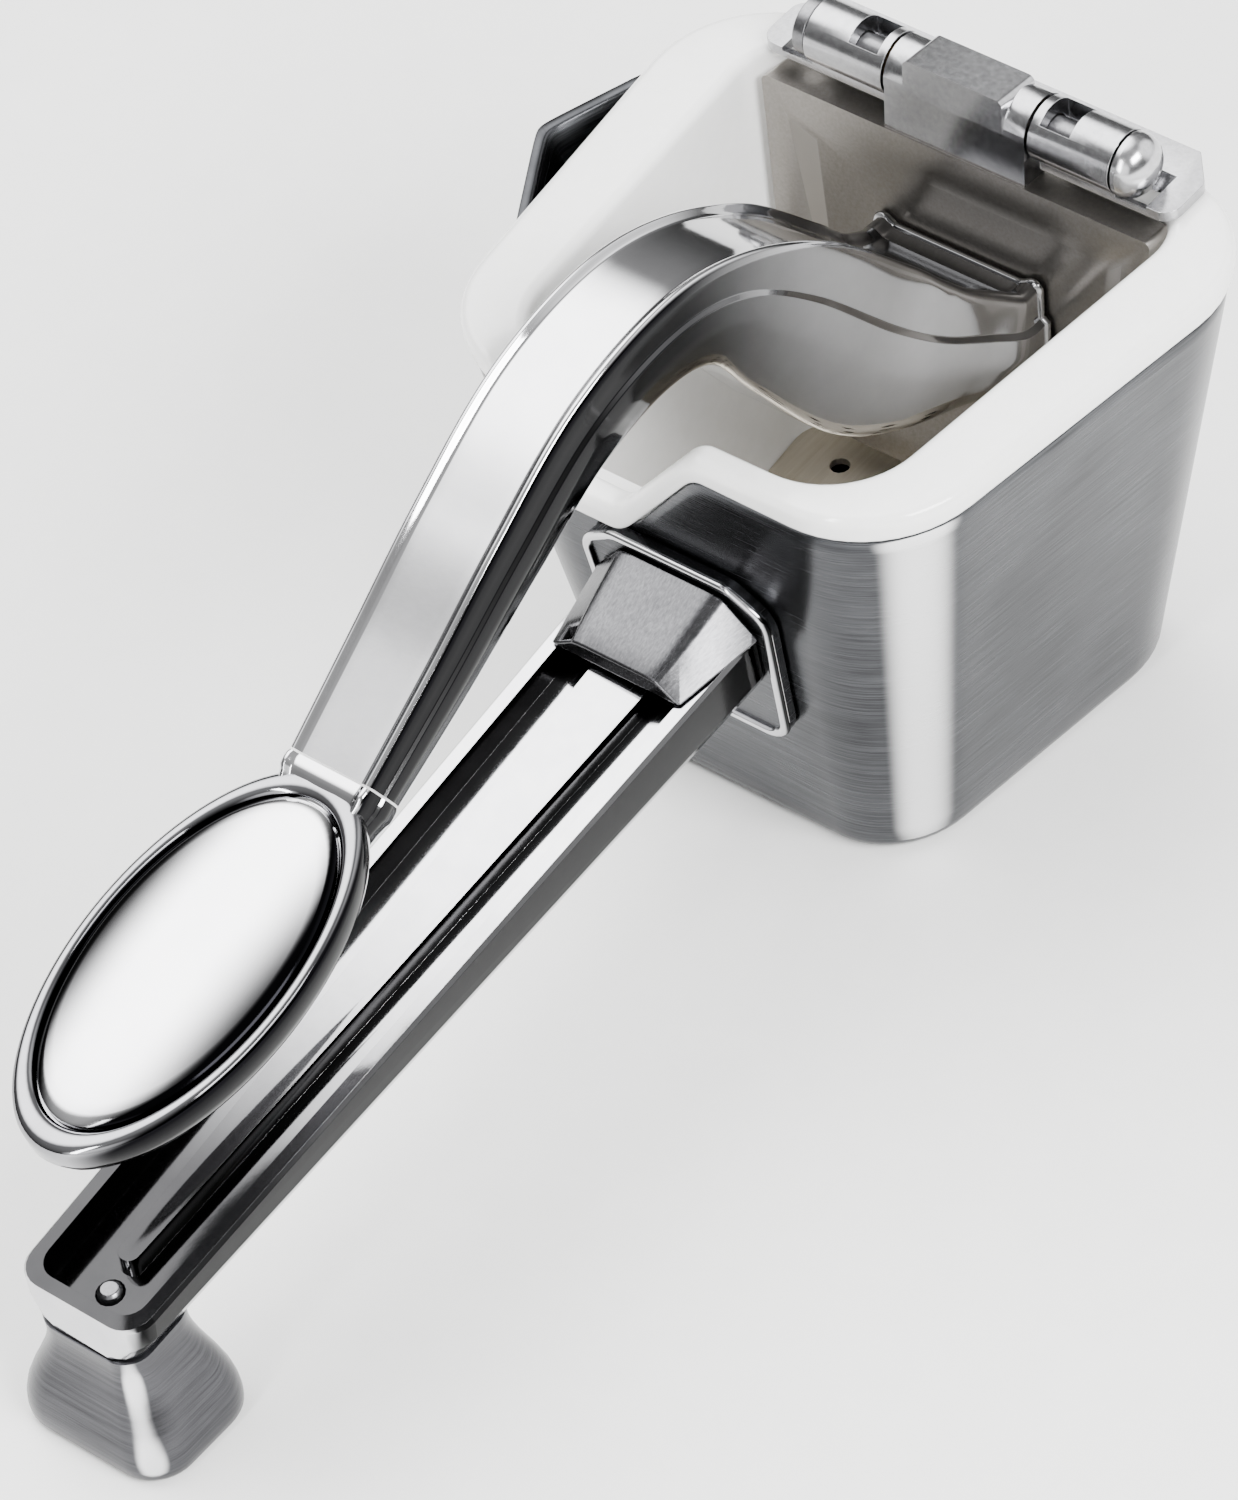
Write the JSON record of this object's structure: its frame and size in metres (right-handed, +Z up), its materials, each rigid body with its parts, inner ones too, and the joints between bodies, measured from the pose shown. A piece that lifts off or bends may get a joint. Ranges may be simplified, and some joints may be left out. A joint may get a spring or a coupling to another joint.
{
  "type": "garlic press",
  "caption": "Hand press with a tapered spouted cup, a white liner, a hinged press plate on a curved lever with an oval thumb pad, and a fixed lower handle on a flared foot.",
  "frame": {"origin": "middle of the bottom of the bounding box, on the surface the press stands on", "axes": "+Z up, +Y from the handles towards the hinge, +X to the right of someone holding the handles and looking at the cup; the spout points to -X"},
  "size_m": [0.0996, 0.2076, 0.1017],
  "materials": {
    "shell_steel": "brushed satin, streaks running across each wall",
    "liner_enamel": "glossy white enamel",
    "strainer_steel": "satin, warm grey",
    "hinge_steel": "satin pressed steel",
    "rivet_steel": "satin",
    "pin_steel": "polished",
    "collar_chrome": "polished bead",
    "collar_steel": "faceted satin",
    "handle_chrome": "mirror polish",
    "screw_steel": "satin",
    "foot_steel": "brushed satin",
    "plate_cast": "die-cast, matt grey",
    "bush_bronze": "plain bearing bronze",
    "arm_chrome": "mirror polish",
    "pad_chrome": "mirror polish",
    "pad_mirror": "mirror polish, domed"
  },
  "bodies": {
    "cup": {"outer_shell": "shell_steel", "inner_liner": "liner_enamel", "strainer_plate": "strainer_steel", "hinge_bracket": "hinge_steel", "apron_rivet_1": "rivet_steel", "apron_rivet_2": "rivet_steel", "apron_rivet_3": "rivet_steel", "apron_rivet_4": "rivet_steel", "hinge_pin": "pin_steel", "pin_dome_cap": "pin_steel", "handle_flange": "collar_chrome", "handle_hood": "collar_steel", "lower_handle": "handle_chrome", "handle_screw_1": "screw_steel", "handle_screw_2": "screw_steel", "foot_block": "foot_steel", "foot_screw": "screw_steel"},
    "lever": {"press_plate": "plate_cast", "hinge_bush_left": "bush_bronze", "hinge_bush_right": "bush_bronze", "lever_arm": "arm_chrome", "plate_screw_1": "screw_steel", "plate_screw_2": "screw_steel", "thumb_pad": "pad_chrome", "pad_face_plate": "pad_mirror"}
  },
  "joints": [
    {"name": "lever_hinge", "type": "hinge", "parent": "cup", "child": "lever", "pos_m": [0.00396, 0.0945, 0.0795], "axis": [-1, 0, 0], "range_deg": [0, 115]}
  ]
}
